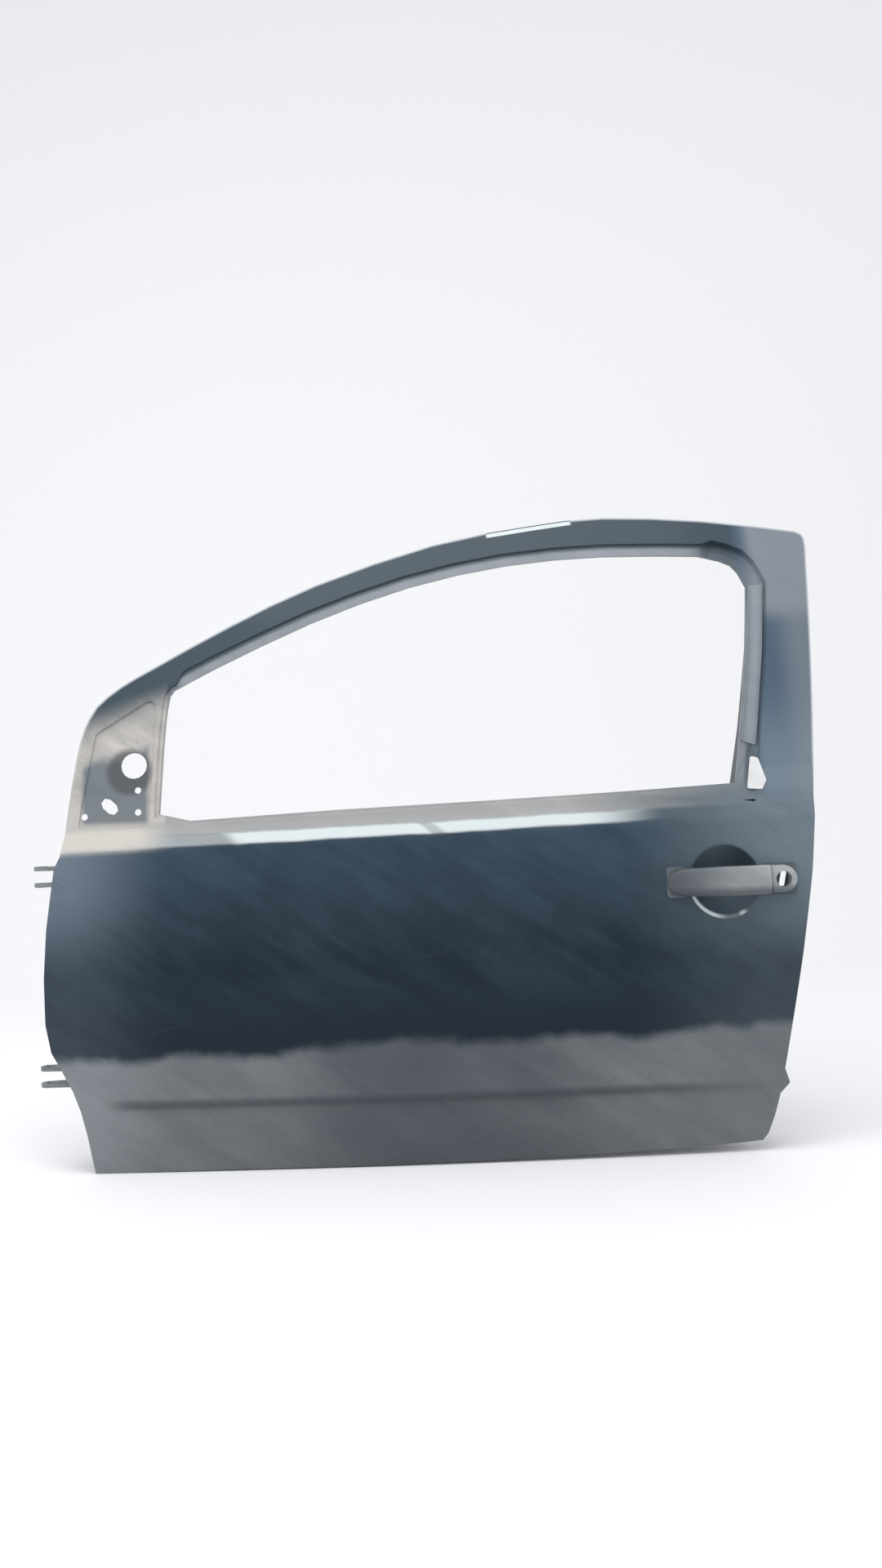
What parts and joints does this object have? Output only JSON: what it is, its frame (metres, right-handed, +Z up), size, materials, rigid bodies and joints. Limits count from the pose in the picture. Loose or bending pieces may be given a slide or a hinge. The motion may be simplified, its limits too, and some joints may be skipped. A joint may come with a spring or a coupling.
{
  "type": "car door shell",
  "caption": "Bare left-hand front door shell of a small car: pressed skin, inner panel and window frame, with hinge leaves, side beam and a pull handle that swings.",
  "frame": {"origin": "on the axis of the hinge pins, midway between the two ears of the lower hinge", "axes": "+X along the door to the rear of the car, +Y across the car into the cabin, +Z up along the hinge axis"},
  "size_m": [1.2954, 0.2418, 1.048],
  "materials": {
    "navy_paint": "gloss, dusty",
    "inner_paint": "satin, dusty",
    "bare_steel": "dull",
    "zinc_steel": "satin",
    "bright_metal": "bright",
    "channel_grey": "dusty",
    "gasket_rubber": "matte",
    "handle_plastic": "grained, dusty"
  },
  "bodies": {
    "door": {"outer_skin": "navy_paint", "inner_panel": "inner_paint", "inner_window_frame": "inner_paint", "hinge_leaf_upper": "inner_paint", "hinge_leaf_lower": "inner_paint", "hinge_tapping_plate_upper": "bare_steel", "hinge_tapping_plate_lower": "bare_steel", "hinge_bolt_upper_top": "zinc_steel", "hinge_bolt_upper_foot": "zinc_steel", "hinge_bolt_lower_top": "zinc_steel", "hinge_bolt_lower_foot": "zinc_steel", "check_strap_reinforcement": "bare_steel", "latch_reinforcement": "bare_steel", "side_impact_beam": "bare_steel", "beam_bracket_front": "bare_steel", "beam_bracket_rear": "bare_steel", "belt_reinforcement_outer": "bare_steel", "belt_reinforcement_inner": "bare_steel", "mirror_reinforcement": "bare_steel", "rear_run_channel": "channel_grey", "channel_end_tab": "bright_metal", "handle_gasket_front": "gasket_rubber", "handle_gasket_rear": "gasket_rubber", "handle_end_cap": "handle_plastic", "handle_pivot_bracket": "bare_steel", "handle_rear_bracket": "bare_steel", "handle_pivot_pin": "zinc_steel", "handle_return_spring": "zinc_steel"},
    "pull_handle": {"handle_grip": "handle_plastic"}
  },
  "joints": [
    {"name": "handle_pull", "type": "hinge", "parent": "door", "child": "pull_handle", "pos_m": [1.01, -0.03355, 0.28], "axis": [0, 0, -1], "range_deg": [0, 9], "stiffness_Nm_per_rad": 0.4, "springref_deg": -5.73}
  ]
}
